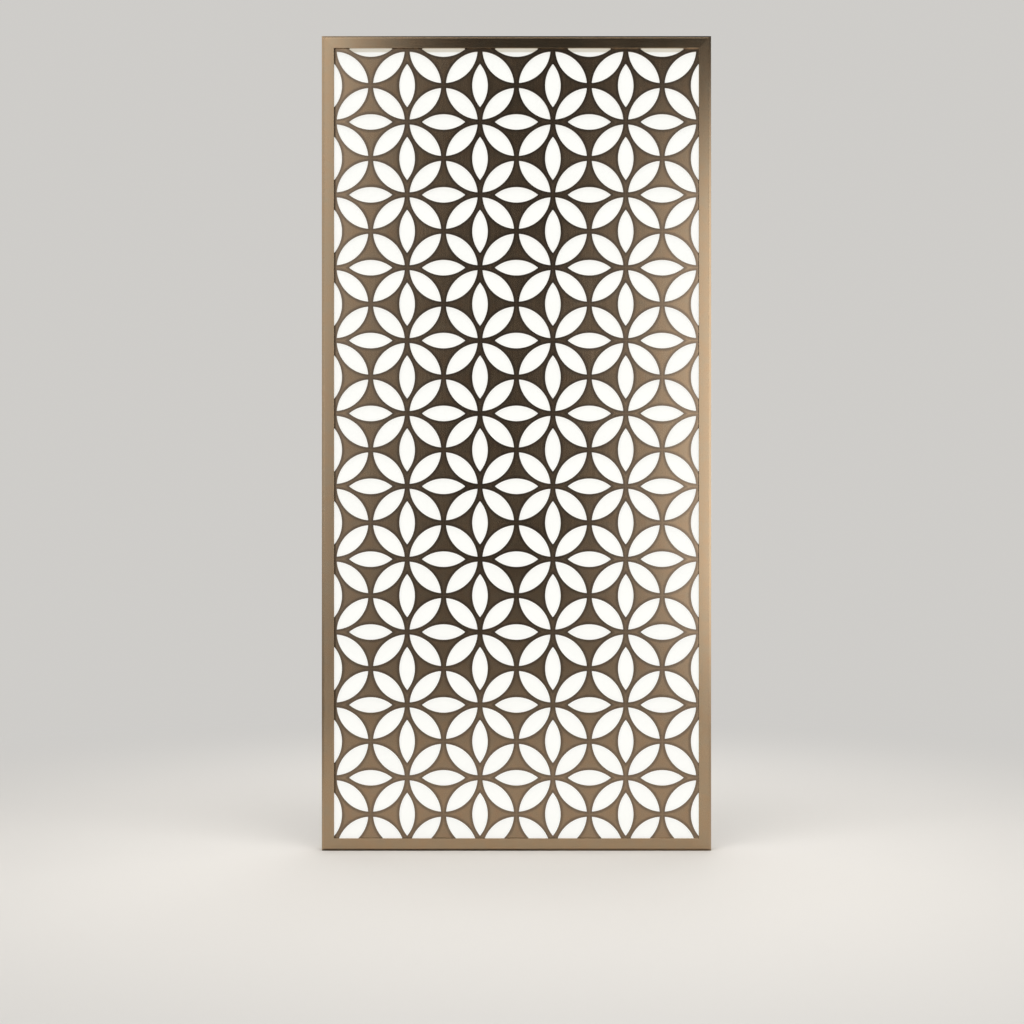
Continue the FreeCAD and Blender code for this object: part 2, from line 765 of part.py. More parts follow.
def build_driver_contents(side_gap, board_y):
    """Transformer, capacitors and terminals on the driver's board, and the pillars under it."""
    left = measure(f"driver_left + {side_gap}")
    length = measure(f"driver_length - 2 * {side_gap}")
    front = measure(board_y)
    middle = measure("driver_middle")
    tall = measure("(driver_height - driver_wall - board_lift - board_thickness) * 0.75")
    wide = measure("driver_width") * 0.45
    block = Part.makeBox(wide, tall, wide, Vector(left + length * 0.4, front - tall,
                                                  middle - wide / 2))
    toward_front = Vector(0, -1, 0)
    cans = [Part.makeCylinder(tall * 0.4, tall, Vector(left + length * part, front, middle),
                              toward_front) for part in (0.15, 0.27, 0.75, 0.87)]
    low = tall * 0.6
    terminals = [Part.makeBox(low, low, wide, Vector(left + (length - low) * part, front - low,
                                                     middle - wide / 2)) for part in (0, 1)]
    new_feature("driver_components", Part.makeCompound([block] + cans + terminals))
    lift = measure("board_lift")
    base = measure("back_face - driver_wall")
    pillars = [Part.makeCylinder(lift * 0.6, lift, Vector(left + length * part, base, middle),
                                 toward_front) for part in (0.18, 0.87)]
    new_feature("board_pillars", Part.makeCompound(pillars))


def build_lead():
    """The low-voltage lead from the driver up past every bar, and the clips that hold it."""
    radius = measure("lead_radius")
    bend = measure("lead_bend")
    y = measure("back_face - lead_lift")
    start = Vector(measure("driver_left + driver_wall + board_margin"), y,
                   measure("driver_middle + lead_rise"))
    trunk = -measure("lead_x")
    turn_in = Vector(trunk + bend, y, start.z)
    turn_out = Vector(trunk, y, start.z + bend)
    middle = Vector(trunk + bend * (1 - math.sqrt(0.5)), y, start.z + bend * (1 - math.sqrt(0.5)))
    route = Part.Wire([
        Part.makeLine(start, turn_in), Part.Arc(turn_in, middle, turn_out).toShape(),
        Part.makeLine(turn_out, Vector(trunk, y, measure(led_row(LED_ROWS - 1)))),
    ])
    section = Part.Wire([Part.makeCircle(radius, start, Vector(-1, 0, 0))])
    new_feature("low_voltage_lead", route.makePipeShell([section], True, True))

    width = measure("clip_width")
    lift = measure("lead_lift")
    wall = radius + measure("driver_wall")
    hole = radius + measure("fit_gap")
    block = Part.makeBox(2 * wall, lift + wall, width, Vector(-wall, -lift - wall, -width / 2))
    bore = Part.makeCylinder(hole, 2 * width, Vector(0, -lift, -width))
    clip = block.cut(bore)
    face = measure("back_face")
    heights = [measure(f"{led_row(2 * index)} + led_pitch / 2") for index in range(LED_ROWS // 2)]
    clips = [moved(clip, Placement(Vector(trunk, face, height), Rotation())) for height in heights]
    across = Rotation(Vector(0, 1, 0), 90)
    for part in (0.25, 0.75):
        x = turn_in.x + (measure("driver_left - driver_tab") - turn_in.x) * part
        clips.append(moved(clip, Placement(Vector(x, face, start.z), across)))
    new_feature("lead_clips", Part.makeCompound(clips))


def build_wall_inserts():
    """Blind threaded inserts, flush with the back of the stiles."""
    bore = measure("insert_bore_radius")
    barrel = measure("insert_radius")
    bulge = measure("insert_bulge_radius")
    inside = -measure("frame_wall")
    far = -measure("insert_length")
    insert = turned_shape([
        (bore, far), (barrel, far), (barrel, inside * 2.5), (bulge, inside * 2), (bulge, inside),
        (barrel, inside), (barrel, 0), (bore, 0),
    ])
    solids = []
    for side in (LEFT, RIGHT):
        for place in wall_fixing_places(side):
            spot = Vector(measure("box_width / 2"), measure("frame_depth"), measure(place))
            solids.append(moved(insert, side_placement(side) * Placement(spot, HEAD_TO_BACK)))
    new_feature("wall_inserts", Part.makeCompound(solids))


def build_feet():
    """Levelling feet in the bottom rail: threaded insert, stud and swivelling pad."""
    stud_top = "box_width + stud_above_web"
    seat_top = "stud_seat + stud_foot_height"
    throat = "stud_radius + swivel_clearance"
    cup = "stud_foot_radius + swivel_clearance"
    bore = "stud_radius + thread_clearance"
    flange_top = "box_width + foot_insert_flange_thickness"
    insert_low = "pad_top + foot_insert_gap"
    for name, x in (("left", "-foot_x"), ("right", "foot_x")):
        insert = turned(f"foot_insert_{name}", [
            (bore, insert_low), ("foot_insert_radius", insert_low),
            ("foot_insert_radius", "box_width"), ("foot_insert_flange", "box_width"),
            ("foot_insert_flange", flange_top), (bore, flange_top),
        ])
        stud = turned(f"foot_stud_{name}", [
            ("0", "stud_seat"), ("stud_foot_radius", "stud_seat"), ("stud_foot_radius", seat_top),
            ("stud_radius", seat_top), ("stud_radius", stud_top), ("0", stud_top),
        ])
        key = sketch_on(stud, "XY_Plane", stud_top)
        outline(key, [(f"stud_key_radius * cos({step * 60} deg)",
                       f"stud_key_radius * sin({step * 60} deg)") for step in range(6)])
        pocket(stud, key, "stud_key_depth")
        sole = turned(f"foot_pad_{name}", [
            ("0", "foot_lift"), ("pad_radius - 1", "foot_lift"), ("pad_radius", "foot_lift + 1"),
            ("pad_radius", "pad_top"), (throat, "pad_top"),
            (throat, f"{seat_top} + swivel_clearance"), (cup, f"{seat_top} + swivel_clearance"),
            (cup, "stud_seat - swivel_clearance"), ("0", "stud_seat - swivel_clearance"),
        ])
        for piece in (insert, stud, sole):
            settle(piece, x, "foot_setback - frame_depth / 2", "0")


build_frame()
build_cleats()
build_panel()
build_stack()
build_frame_screws()
build_back()
build_lights()
build_driver()
build_lead()
build_wall_inserts()
build_feet()
doc.recompute()

for item in doc.Objects:
    if "Invalid" in item.State or "Error" in item.State:
        raise RuntimeError(f"{item.Label} is {item.State}")
for piece in pieces:
    if piece.Shape.isNull() or not piece.Shape.isValid():
        raise RuntimeError(f"{piece.Label} has no sound shape")

os.makedirs("parts", exist_ok=True)
for piece in pieces:
    piece.Shape.exportStep(f"parts/{piece.Label}.step")
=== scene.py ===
"""Looks of the lit jali screen, built around its packed construction model.

Metres, in the frame of the construction model: X to the right, Y from the front to the back and
Z up, with the origin on the floor under the middle of the screen. Two kinds of piece are modelled
here: the cut panel, with fine arcs and eased cut edges, and the four bars of the frame, with eased
long edges. Every other piece keeps its construction mesh and gets its finish.
"""

import logging
import math
from collections.abc import Callable, Iterable
from dataclasses import dataclass
from enum import Enum, IntEnum

import bpy
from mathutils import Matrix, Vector


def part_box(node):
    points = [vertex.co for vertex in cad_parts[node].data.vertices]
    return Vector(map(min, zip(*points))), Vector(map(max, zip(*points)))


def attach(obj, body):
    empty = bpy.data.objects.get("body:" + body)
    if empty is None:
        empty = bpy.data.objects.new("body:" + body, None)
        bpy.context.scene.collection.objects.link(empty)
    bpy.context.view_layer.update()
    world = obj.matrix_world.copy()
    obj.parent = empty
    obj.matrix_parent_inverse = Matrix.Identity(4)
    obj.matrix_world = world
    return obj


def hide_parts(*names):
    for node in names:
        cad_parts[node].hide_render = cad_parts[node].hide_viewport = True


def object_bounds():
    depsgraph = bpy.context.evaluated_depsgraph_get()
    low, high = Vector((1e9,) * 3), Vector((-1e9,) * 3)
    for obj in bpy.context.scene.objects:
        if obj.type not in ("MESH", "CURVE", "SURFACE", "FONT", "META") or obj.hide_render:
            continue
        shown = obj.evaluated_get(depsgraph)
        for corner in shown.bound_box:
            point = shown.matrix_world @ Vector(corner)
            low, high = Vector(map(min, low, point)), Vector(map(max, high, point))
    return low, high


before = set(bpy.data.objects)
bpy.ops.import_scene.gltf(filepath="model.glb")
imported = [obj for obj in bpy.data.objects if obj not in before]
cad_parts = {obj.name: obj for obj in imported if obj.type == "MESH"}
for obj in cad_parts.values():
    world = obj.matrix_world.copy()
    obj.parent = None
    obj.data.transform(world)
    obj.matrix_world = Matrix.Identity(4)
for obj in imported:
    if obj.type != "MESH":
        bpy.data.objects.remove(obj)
CAD_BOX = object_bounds()
NODES: dict[str, bpy.types.Object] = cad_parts

log = logging.getLogger("jali_screen")

Colour = tuple[float, float, float]
MILLIMETRE = 0.001
SCREEN_BODY = "screen"
NOISE_MIDDLE = 0.5


class Field:
    """A value that varies over a surface: one output of a shader node."""

    def __init__(self, graph: "Graph", socket: bpy.types.NodeSocket) -> None:
        """Keeps the socket and the graph that it belongs to."""
        self.graph = graph
        self.socket = socket

    def _math(self, operation: str, *values: "Field | float") -> "Field":
        """Adds a Math node.

        Args:
            operation: What the node does with its inputs.
            values: The inputs, in order.

        Returns:
            The node's result.
        """
        return self.graph.node("ShaderNodeMath", {"operation": operation},
                               dict(enumerate(values)))

    def __add__(self, other: "Field | float") -> "Field":
        """The sum."""
        return self._math("ADD", self, other)

    def __radd__(self, other: float) -> "Field":
        """The sum, with a number first."""
        return self._math("ADD", other, self)

    def __sub__(self, other: "Field | float") -> "Field":
        """The difference."""
        return self._math("SUBTRACT", self, other)

    def __rsub__(self, other: float) -> "Field":
        """The difference, with a number first."""
        return self._math("SUBTRACT", other, self)

    def __mul__(self, other: "Field | float") -> "Field":
        """The product."""
        return self._math("MULTIPLY", self, other)

    def __rmul__(self, other: float) -> "Field":
        """The product, with a number first."""
        return self._math("MULTIPLY", other, self)

    def __truediv__(self, other: "Field | float") -> "Field":
        """The quotient."""
        return self._math("DIVIDE", self, other)

    def __rtruediv__(self, other: float) -> "Field":
        """The quotient, with a number first."""
        return self._math("DIVIDE", other, self)

    def __abs__(self) -> "Field":
        """The size without its sign."""
        return self._math("ABSOLUTE", self)

    def least(self, other: "Field | float") -> "Field":
        """The smaller of two values."""
        return self._math("MINIMUM", self, other)

    def most(self, other: "Field | float") -> "Field":
        """The larger of two values."""
        return self._math("MAXIMUM", self, other)

    def hypot(self, other: "Field") -> "Field":
        """The long side of a right triangle with these two short sides."""
        return self._math("SQRT", self * self + other * other)

    def fold(self, span: float) -> "Field":
        """Runs up to the span and back down to 0, over and over."""
        return self._math("PINGPONG", self, span)

    def cosine(self) -> "Field":
        """The cosine, of an angle in radians."""
        return self._math("COSINE", self)

    def swing(self, depth: float) -> "Field":
        """A noise as a change up and down from 0, its whole range as large as the depth."""
        return (self - NOISE_MIDDLE) * depth

    def smooth_step(self, low: float, high: float) -> "Field":
        """Runs softly from 0 to 1.

        Args:
            low: The value that gives 0.
            high: The value that gives 1.

        Returns:
            The eased share.
        """
        return self.graph.node("ShaderNodeMapRange", {"interpolation_type": "SMOOTHSTEP"},
                               {"Value": self, "From Min": low, "From Max": high})


class Graph:
    """The shader nodes of one material, light or world."""

    def __init__(self, tree: bpy.types.NodeTree) -> None:
        """Starts from an empty tree."""
        self.tree = tree
        tree.nodes.clear()

    @staticmethod
    def _pick(sockets: Iterable[bpy.types.NodeSocket], key: int | str) -> bpy.types.NodeSocket:
        """Finds a socket.

        Args:
            sockets: The inputs or outputs of a node.
            key: The socket's place, identifier or name.

        Returns:
            The socket.
        """
        found = list(sockets)
        if isinstance(key, int):
            return found[key]
        by_identifier = [s for s in found if s.identifier == key]
        return (by_identifier or [s for s in found if s.name == key])[0]

    def node(self, kind: str, settings: dict | None = None, values: dict | None = None,
             output: int | str = 0) -> Field:
        """Adds a node.

        Args:
            kind: The node's type.
            settings: What is set on the node itself, before its sockets.
            values: A number, colour or field for each socket that is named.
            output: The socket that the result is read from.

        Returns:
            The chosen output.
        """
        made = self.tree.nodes.new(kind)
        for key, setting in (settings or {}).items():
            setattr(made, key, setting)
        for key, value in (values or {}).items():
            socket = self._pick(made.inputs, key)
            if isinstance(value, Field):
                self.tree.links.new(value.socket, socket)
            else:
                socket.default_value = value
        return Field(self, self._pick(made.outputs, output))

    def position(self) -> Field:
        """The place on the object, in metres of the shared frame."""
        return self.node("ShaderNodeTexCoord", output="Object")

    def axis(self, letter: str) -> Field:
        """One coordinate of the place on the object."""
        return self.node("ShaderNodeSeparateXYZ", None, {"Vector": self.position()}, letter)

    def noise(self, scale: float | Colour, detail: float = 2.0, roughness: float = 0.5) -> Field:
        """A cloudy field between 0 and 1.

        Args:
            scale: Features in a metre, one number or one for each axis.
            detail: How many finer layers are added.
            roughness: How strong the finer layers are.

        Returns:
            The field, about 0.5 on average.
        """
        stretch = scale if isinstance(scale, tuple) else (scale, scale, scale)
        place = self.node("ShaderNodeMapping", None,
                          {"Vector": self.position(), "Scale": stretch})
        return self.node("ShaderNodeTexNoise", None,
                         {"Vector": place, "Scale": 1.0, "Detail": detail,
                          "Roughness": roughness})

    def blend(self, share: Field | float, first: Colour | Field, second: Colour | Field) -> Field:
        """Mixes two colours.

        Args:
            share: How much of the second colour shows.
            first: The colour at share 0.
            second: The colour at share 1.

        Returns:
            The mixed colour.
        """
        def full(colour: Colour | Field) -> tuple | Field:
            """The colour as a socket takes it."""
            return colour if isinstance(colour, Field) else (*colour, 1.0)
        return self.node("ShaderNodeMix", {"data_type": "RGBA"},
                         {"Factor_Float": share, "A_Color": full(first), "B_Color": full(second)},
                         "Result_Color")

    def bump(self, height: Field, distance: float, strength: float = 1.0) -> Field:
        """Tilts the normal by a height field.

        Args:
            height: The field, 0 to 1.
            distance: What a step of 1 stands for, in metres.
            strength: The share of the tilt that shows.

        Returns:
            The normal.
        """
        return self.node("ShaderNodeBump", None,
                         {"Height": height, "Distance": distance, "Strength": strength}, "Normal")

    def surface(self, **values: Field | float | Colour) -> None:
        """Ends the graph in a Principled shader.

        Args:
            values: The shader's sockets, with underscores for the spaces in their names.
        """
        sockets = {}
        for key, value in values.items():
            is_colour = isinstance(value, tuple) and len(value) == 3
            sockets[key.replace("_", " ")] = (*value, 1.0) if is_colour else value
        shader = self.node("ShaderNodeBsdfPrincipled", None, sockets)
        self.node_output("ShaderNodeOutputMaterial", shader)

    def node_output(self, kind: str, shader: Field) -> None:
        """Feeds a shader to the graph's output."""
        made = self.tree.nodes.new(kind)
        self.tree.links.new(shader.socket, made.inputs["Surface"])


@dataclass(frozen=True)
class Leafwork:
    """The pattern of the cut sheet: leaves of two arcs on a square lattice."""

    pitch: float = 187.2 * MILLIMETRE
    strand: float = 12.6 * MILLIMETRE
    straight_width: float = 39.8 * MILLIMETRE
    columns: int = 5
    rows: int = 12
    top_line: float = 2058.8 * MILLIMETRE

    @property
    def left_line(self) -> float:
        """Where the lattice starts, along X."""
        return -self.columns * self.pitch / 2

    @property
    def arc(self) -> float:
        """The radius of a leaf's two sides."""
        return (self.pitch - self.strand) / 2

    @property
    def diagonal_step(self) -> float:
        """How far a diagonal leaf's middle is from the middle of its cell."""
        return math.hypot(self.pitch, self.pitch) / 4

    def edge_distance(self, graph: Graph) -> Field:
        """How far a place on the sheet is from the nearest cut edge.

        Args:
            graph: The material's nodes.

        Returns:
            The distance in metres, over 0 on the metal.
        """
        half = self.pitch / 2
        across = (graph.axis("X") - self.left_line).fold(half)
        upward = (graph.axis("Z") - self.top_line).fold(half)
        near, far = across.least(upward), across.most(upward)
        diagonal = (half - near).hypot(far)
        straight = (near + (self.arc - self.straight_width / 2)).hypot(half - far)
        return diagonal.least(straight) - self.arc


class Grain(Enum):
    """The way that a brushed metal was drawn: how its streaks are stretched along each axis."""

    UPRIGHT = (1400.0, 1400.0, 14.0)
    LEVEL = (14.0, 1400.0, 1400.0)


@dataclass(frozen=True)
class Finish:
    """A surface finish: it makes one material, which its pieces share."""

    name: str
    colour: Colour
    roughness: float

    def shade(self, graph: Graph) -> None:
        """Adds the finish's nodes."""
        raise NotImplementedError

    def material(self) -> bpy.types.Material:
        """The finish as a material, made at its first use."""
        made = bpy.data.materials.get(self.name)
        if made is None:
            made = bpy.data.materials.new(self.name)
            made.use_nodes = True
            self.shade(Graph(made.node_tree))
        return made

    def shifted(self, factor: float, tint: Colour = (1.0, 1.0, 1.0)) -> Colour:
        """The finish's colour, lighter or darker by a factor and leaning to a tint.

        Args:
            factor: How many times as bright it is.
            tint: What each part of the colour is also multiplied by.

        Returns:
            The colour.
        """
        return tuple(min(1.0, part * factor * lean) for part, lean in zip(self.colour, tint))


@dataclass(frozen=True)
class SatinBronze(Finish):
    """Bronze-coloured metal: a fine drawn grain under a soft, slightly clouded sheen."""

    grain: Grain
    cloud_scale: float = 9.0
    cloud_depth: float = 0.10
    cloud_gloss: float = 0.08
    streak_depth: float = 0.26
    streak_gloss: float = 0.14
    grain_height: float = 0.012 * MILLIMETRE
    grain_strength: float = 0.5
    mottle_scale: float = 45.0
    red_tint: Colour = (1.08, 0.97, 0.88)
    gold_tint: Colour = (0.93, 1.03, 1.10)
    contrast: float = 0.38

    def shade(self, graph: Graph) -> None:
        """Adds the finish's nodes."""
        clouds = graph.noise(self.cloud_scale, detail=4.0, roughness=0.6)
        streaks = graph.noise(self.grain.value, detail=3.0, roughness=0.65)
        mottle = graph.noise(self.mottle_scale, detail=3.0)
        tone = clouds.swing(self.cloud_depth) + streaks.swing(self.streak_depth)
        dark, light = (
            graph.blend(mottle, self.shifted(factor, self.red_tint),
                        self.shifted(factor, self.gold_tint))
            for factor in (1 - self.contrast, 1 + self.contrast))
        metal = graph.blend(tone + NOISE_MIDDLE, dark, light)
        gloss = streaks.swing(self.streak_gloss) + clouds.swing(self.cloud_gloss)
        graph.surface(
            Base_Color=self.toned(graph, metal),
            Metallic=1.0,
            Roughness=gloss + self.roughness,
            Normal=graph.bump(streaks, self.grain_height, self.grain_strength),
        )

    def toned(self, graph: Graph, metal: Field) -> Field:
        """The metal's colour as it is, with no darkened edges and no painted shadow."""
        return metal


@dataclass(frozen=True)
class CutBronze(SatinBronze):
    """Bronze sheet with darkened cut edges and a painted shadow of the lip beside the left stile.
    """

    leafwork: Leafwork = Leafwork()
    rim_inner: float = 3 * MILLIMETRE
    rim_outer: float = 9.5 * MILLIMETRE
    rim_waver: float = 5 * MILLIMETRE
    waver_scale: float = 70.0
    rim_shade: float = 0.64
    rim_tint: Colour = (0.97, 1.0, 1.08)
    # The painted shadow of the left lip: where the opening's left side is, and how wide and dark
    # the line is.
    corner: float = 0.0
    lip_shadow_inner: float = 2.4 * MILLIMETRE
    lip_shadow_outer: float = 6 * MILLIMETRE
    lip_shadow_shade: float = 0.32

    def toned(self, graph: Graph, metal: Field) -> Field:
        """Darkens the metal along its cut edges, and paints the lip's shadow as a dark line beside
        the left stile.

        Args:
            graph: The material's nodes.
            metal: The clean metal's colour.

        Returns:
            The colour, darkened along its cut edges and with the painted shadow.
        """
        waver = graph.noise(self.waver_scale, detail=4.0, roughness=0.6).swing(self.rim_waver)
        distance = self.leafwork.edge_distance(graph) + waver
        inside = distance.smooth_step(self.rim_inner, self.rim_outer)
        rimmed = graph.blend(inside, self.shifted(self.rim_shade, self.rim_tint), metal)
        # Painted shadow: a dark line on the sheet beside the left stile, where the lip's shadow
        # falls.
        inward = graph.axis("X") - self.corner
        clear = inward.smooth_step(self.lip_shadow_inner, self.lip_shadow_outer)
        return graph.blend(clear, self.shifted(self.lip_shadow_shade), rimmed)


@dataclass(frozen=True)
class LitOpal(Finish):
    """Opal sheet that glows from the lamps behind it: fuller over each row, with a painted shade
    that makes it dimmer and warmer at its top.
    """

    glow: Colour = (1.0, 1.0, 0.955)
    glow_strength: float = 0.77
    first_row: float = 0.122
    row_pitch: float = 0.168
    row_fall: float = 0.035
    dim_share: float = 0.5
    speckle_scale: float = 600.0
    speckle_depth: float = 0.01
    skin_scale: float = 900.0
    skin_shade: float = 0.97
    # The painted shade at the top: the dim cream glow above the line, and how soft its edge is.
    top_shade_glow: Colour = (0.68, 0.63, 0.52)
    top_shade_line: float = 0.0
    top_shade_blur: float = 3 * MILLIMETRE

    def shade(self, graph: Graph) -> None:
        """Adds the finish's nodes."""
        rows = (graph.axis("Z") - self.first_row) / self.row_pitch
        wave = (rows * math.tau).cosine()
        speckle = graph.noise(self.speckle_scale) * self.speckle_depth
        share = (1.0 - wave) / 2 * self.row_fall + speckle
        dim = tuple(part * self.dim_share for part in self.glow)
        # Painted shade: above the line the glow gives way to a dimmer cream, standing in for the
        # retainer's shadow on the top of the sheet.
        edge = graph.axis("Z").smooth_step(self.top_shade_line, self.top_shade_line + self.top_shade_blur)
        graph.surface(
            Base_Color=graph.blend(graph.noise(self.skin_scale), self.colour,
                                   self.shifted(self.skin_shade)),
            Roughness=self.roughness,
            Emission_Color=graph.blend(edge, graph.blend(share, self.glow, dim), self.top_shade_glow),
            Emission_Strength=self.glow_strength,
        )


@dataclass(frozen=True)
class CoatedSheet(Finish):
    """Powder-coated sheet: a fine pebbled skin with a faint speckle."""

    pebble_scale: float = 380.0
    pebble_height: float = 0.14 * MILLIMETRE
    pebble_strength: float = 0.6
    pebble_gloss: float = 0.2
    cloud_scale: float = 6.0
    tone_depth: float = 0.5
    contrast: float = 0.2

    def shade(self, graph: Graph) -> None:
        """Adds the finish's nodes."""
        pebbles = graph.noise(self.pebble_scale, detail=3.0)
        clouds = graph.noise(self.cloud_scale, detail=3.0)
        share = pebbles.swing(self.tone_depth) + clouds.swing(self.tone_depth) + NOISE_MIDDLE
        graph.surface(
            Base_Color=graph.blend(share, self.shifted(1 - self.contrast),
                                   self.shifted(1 + self.contrast)),
            Roughness=pebbles.swing(self.pebble_gloss) + self.roughness,
            Normal=graph.bump(pebbles, self.pebble_height, self.pebble_strength),
        )


@dataclass(frozen=True)
class PlainMetal(Finish):
    """Bare or plated metal with a faint rolled grain and dulled patches."""

    grain_scale: float = 1200.0
    grain_height: float = 0.01 * MILLIMETRE
    grain_strength: float = 0.4
    patch_scale: float = 60.0
    dulled: float = 0.82
    polished: float = 1.1
    gloss_depth: float = 0.15

    def shade(self, graph: Graph) -> None:
        """Adds the finish's nodes."""
        grain = graph.noise(self.grain_scale, detail=4.0, roughness=0.7)
        patches = graph.noise(self.patch_scale, detail=3.0)
        gloss = grain.swing(self.gloss_depth) + patches.swing(self.gloss_depth)
        graph.surface(
            Base_Color=graph.blend(patches, self.shifted(self.dulled),
                                   self.shifted(self.polished)),
            Metallic=1.0,
            Roughness=gloss + self.roughness,
            Normal=graph.bump(grain, self.grain_height, self.grain_strength),
        )


@dataclass(frozen=True)
class Moulding(Finish):
    """Moulded plastic or rubber: a fine matt texture from the mould."""

    texture_scale: float = 1500.0
    texture_height: float = 0.03 * MILLIMETRE
    texture_strength: float = 0.5
    wear_scale: float = 120.0
    wear_gloss: float = 0.2
    contrast: float = 0.15

    def shade(self, graph: Graph) -> None:
        """Adds the finish's nodes."""
        texture = graph.noise(self.texture_scale, detail=2.0)
        wear = graph.noise(self.wear_scale, detail=4.0, roughness=0.6)
        graph.surface(
            Base_Color=graph.blend(wear, self.shifted(1 - self.contrast),
                                   self.shifted(1 + self.contrast)),
            Roughness=wear.swing(self.wear_gloss) + self.roughness,
            Normal=graph.bump(texture, self.texture_height, self.texture_strength),
        )


@dataclass(frozen=True)
class ClearLens(Finish):
    """Clear lens over a lamp, lit from inside."""

    haze_scale: float = 800.0
    haze_shade: float = 0.93
    haze_gloss: float = 0.06
    clearness: float = 0.7
    index: float = 1.49
    glow: Colour = (1.0, 1.0, 0.95)
    hazy_glow: Colour = (0.9, 0.9, 0.86)
    glow_strength: float = 0.6

    def shade(self, graph: Graph) -> None:
        """Adds the finish's nodes."""
        haze = graph.noise(self.haze_scale)
        graph.surface(
            Base_Color=graph.blend(haze, self.colour, self.shifted(self.haze_shade)),
            Roughness=haze.swing(self.haze_gloss) + self.roughness,
            Transmission_Weight=self.clearness,
            IOR=self.index,
            Emission_Color=graph.blend(haze, self.glow, self.hazy_glow),
            Emission_Strength=self.glow_strength,
        )


BRONZE = (0.40, 0.292, 0.188)
PANEL_BRONZE = (0.350, 0.250, 0.162)
OPENING_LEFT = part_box("left_stile")[1].x
OPENING_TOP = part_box("top_rail")[0].z
OPAL_TOP_SHADE_BAND = 10 * MILLIMETRE
LEAFWORK = Leafwork()
BRONZE_UPRIGHT = SatinBronze("bronze_upright", BRONZE, 0.21, Grain.UPRIGHT)
BRONZE_LEVEL = SatinBronze("bronze_level", BRONZE, 0.17, Grain.LEVEL)
# corner puts the sheet's painted shadow at the opening's left side.
BRONZE_SHEET = CutBronze("bronze_sheet", PANEL_BRONZE, 0.21, Grain.UPRIGHT, leafwork=LEAFWORK,
                         corner=OPENING_LEFT)
# The opal's band of painted shade runs down from the opening's top.
OPAL = LitOpal("opal_lit", (0.25, 0.25, 0.245), 0.45, top_shade_line=OPENING_TOP - OPAL_TOP_SHADE_BAND)
DARK_COAT = CoatedSheet("back_coat", (0.088, 0.085, 0.082), 0.55)
MILL_ALUMINIUM = PlainMetal("mill_aluminium_plain", (0.72, 0.72, 0.73), 0.38)
ZINC_PLATE = PlainMetal("zinc_plate", (0.62, 0.62, 0.6), 0.30)
DRIVER_METAL = PlainMetal("driver_sheet", (0.76, 0.76, 0.77), 0.34)
BLACK_RUBBER = Moulding("black_rubber_matt", (0.022, 0.022, 0.023), 0.72)
BLACK_PLASTIC = Moulding("black_plastic_matt", (0.028, 0.028, 0.03), 0.5)
WHITE_PLASTIC = Moulding("white_plastic_matt", (0.8, 0.8, 0.78), 0.45)
LED_BOARD = Moulding("led_board_white", (0.85, 0.85, 0.83), 0.4)
CIRCUIT_BOARD = Moulding("circuit_board_green", (0.03, 0.17, 0.07), 0.35)
LENS_CLEAR = ClearLens("lens_lit", (0.94, 0.95, 0.94), 0.08)


def deselect_all() -> None:
    """Leaves no object selected, the construction nodes included."""
    bpy.ops.object.select_all(action="DESELECT")


def select_only(*pieces: bpy.types.Object) -> None:
    """Selects these pieces alone and makes the first one active."""
    deselect_all()
    for piece in pieces:
        piece.select_set(True)
    bpy.context.view_layer.objects.active = pieces[0]


def apply_modifier(piece: bpy.types.Object, kind: str, **settings: object) -> None:
    """Adds a modifier to a piece and applies it.

    Args:
        piece: The piece.
        kind: The modifier's type.
        settings: The modifier's own settings.
    """
    select_only(piece)
    modifier = piece.modifiers.new(kind.lower(), kind)
    for key, setting in settings.items():
        setattr(modifier, key, setting)
    bpy.ops.object.modifier_apply(modifier=modifier.name)


def combine(piece: bpy.types.Object, tool: bpy.types.Object, operation: str) -> None:
    """Joins, cuts or overlaps a piece with a tool body, which is then used up.

    Args:
        piece: The piece that is changed.
        tool: The body that it is changed with.
        operation: The Boolean modifier's operation.
    """
    apply_modifier(piece, "BOOLEAN", operation=operation, solver="MANIFOLD", object=tool)
    bpy.data.objects.remove(tool)


class Element(Enum):
    """What is picked in edit mode: the select mode, and where a mesh keeps its elements."""

    FACES = ("FACE", "polygons")
    EDGES = ("EDGE", "edges")


def select_in_edit(piece: bpy.types.Object, element: Element,
                   wanted: Callable[[bpy.types.MeshPolygon | bpy.types.MeshEdge], bool]) -> None:
    """Opens a piece in edit mode with some of its faces or edges selected.

    Args:
        piece: The piece.
        element: Whether faces or edges are picked.
        wanted: Says of a face or an edge whether it is selected.
    """
    mode, holder = element.value
    select_only(piece)
    bpy.ops.object.mode_set(mode="EDIT")
    bpy.ops.mesh.select_mode(type=mode)
    bpy.ops.mesh.select_all(action="DESELECT")
    bpy.ops.object.mode_set(mode="OBJECT")
    for item in getattr(piece.data, holder):
        item.select = wanted(item)
    bpy.ops.object.mode_set(mode="EDIT")


def block(name: str, low: Vector, high: Vector) -> bpy.types.Object:
    """A rectangular block.

    Args:
        name: The object's name.
        low: Its lowest corner.
        high: Its highest corner.

    Returns:
        The block, its place in its mesh.
    """
    deselect_all()
    bpy.ops.mesh.primitive_cube_add(size=1.0, location=(low + high) / 2, scale=high - low)
    bpy.ops.object.transform_apply()
    made = bpy.context.object
    made.name = name
    return made


def dress(pieces: Iterable[bpy.types.Object], finish: Finish) -> None:
    """Gives pieces a finish.

    Args:
        pieces: The pieces.
        finish: What they all get.
    """
    for piece in pieces:
        piece.data.materials.clear()
        piece.data.materials.append(finish.material())
        log.info("%s: %s", piece.name, finish.name)


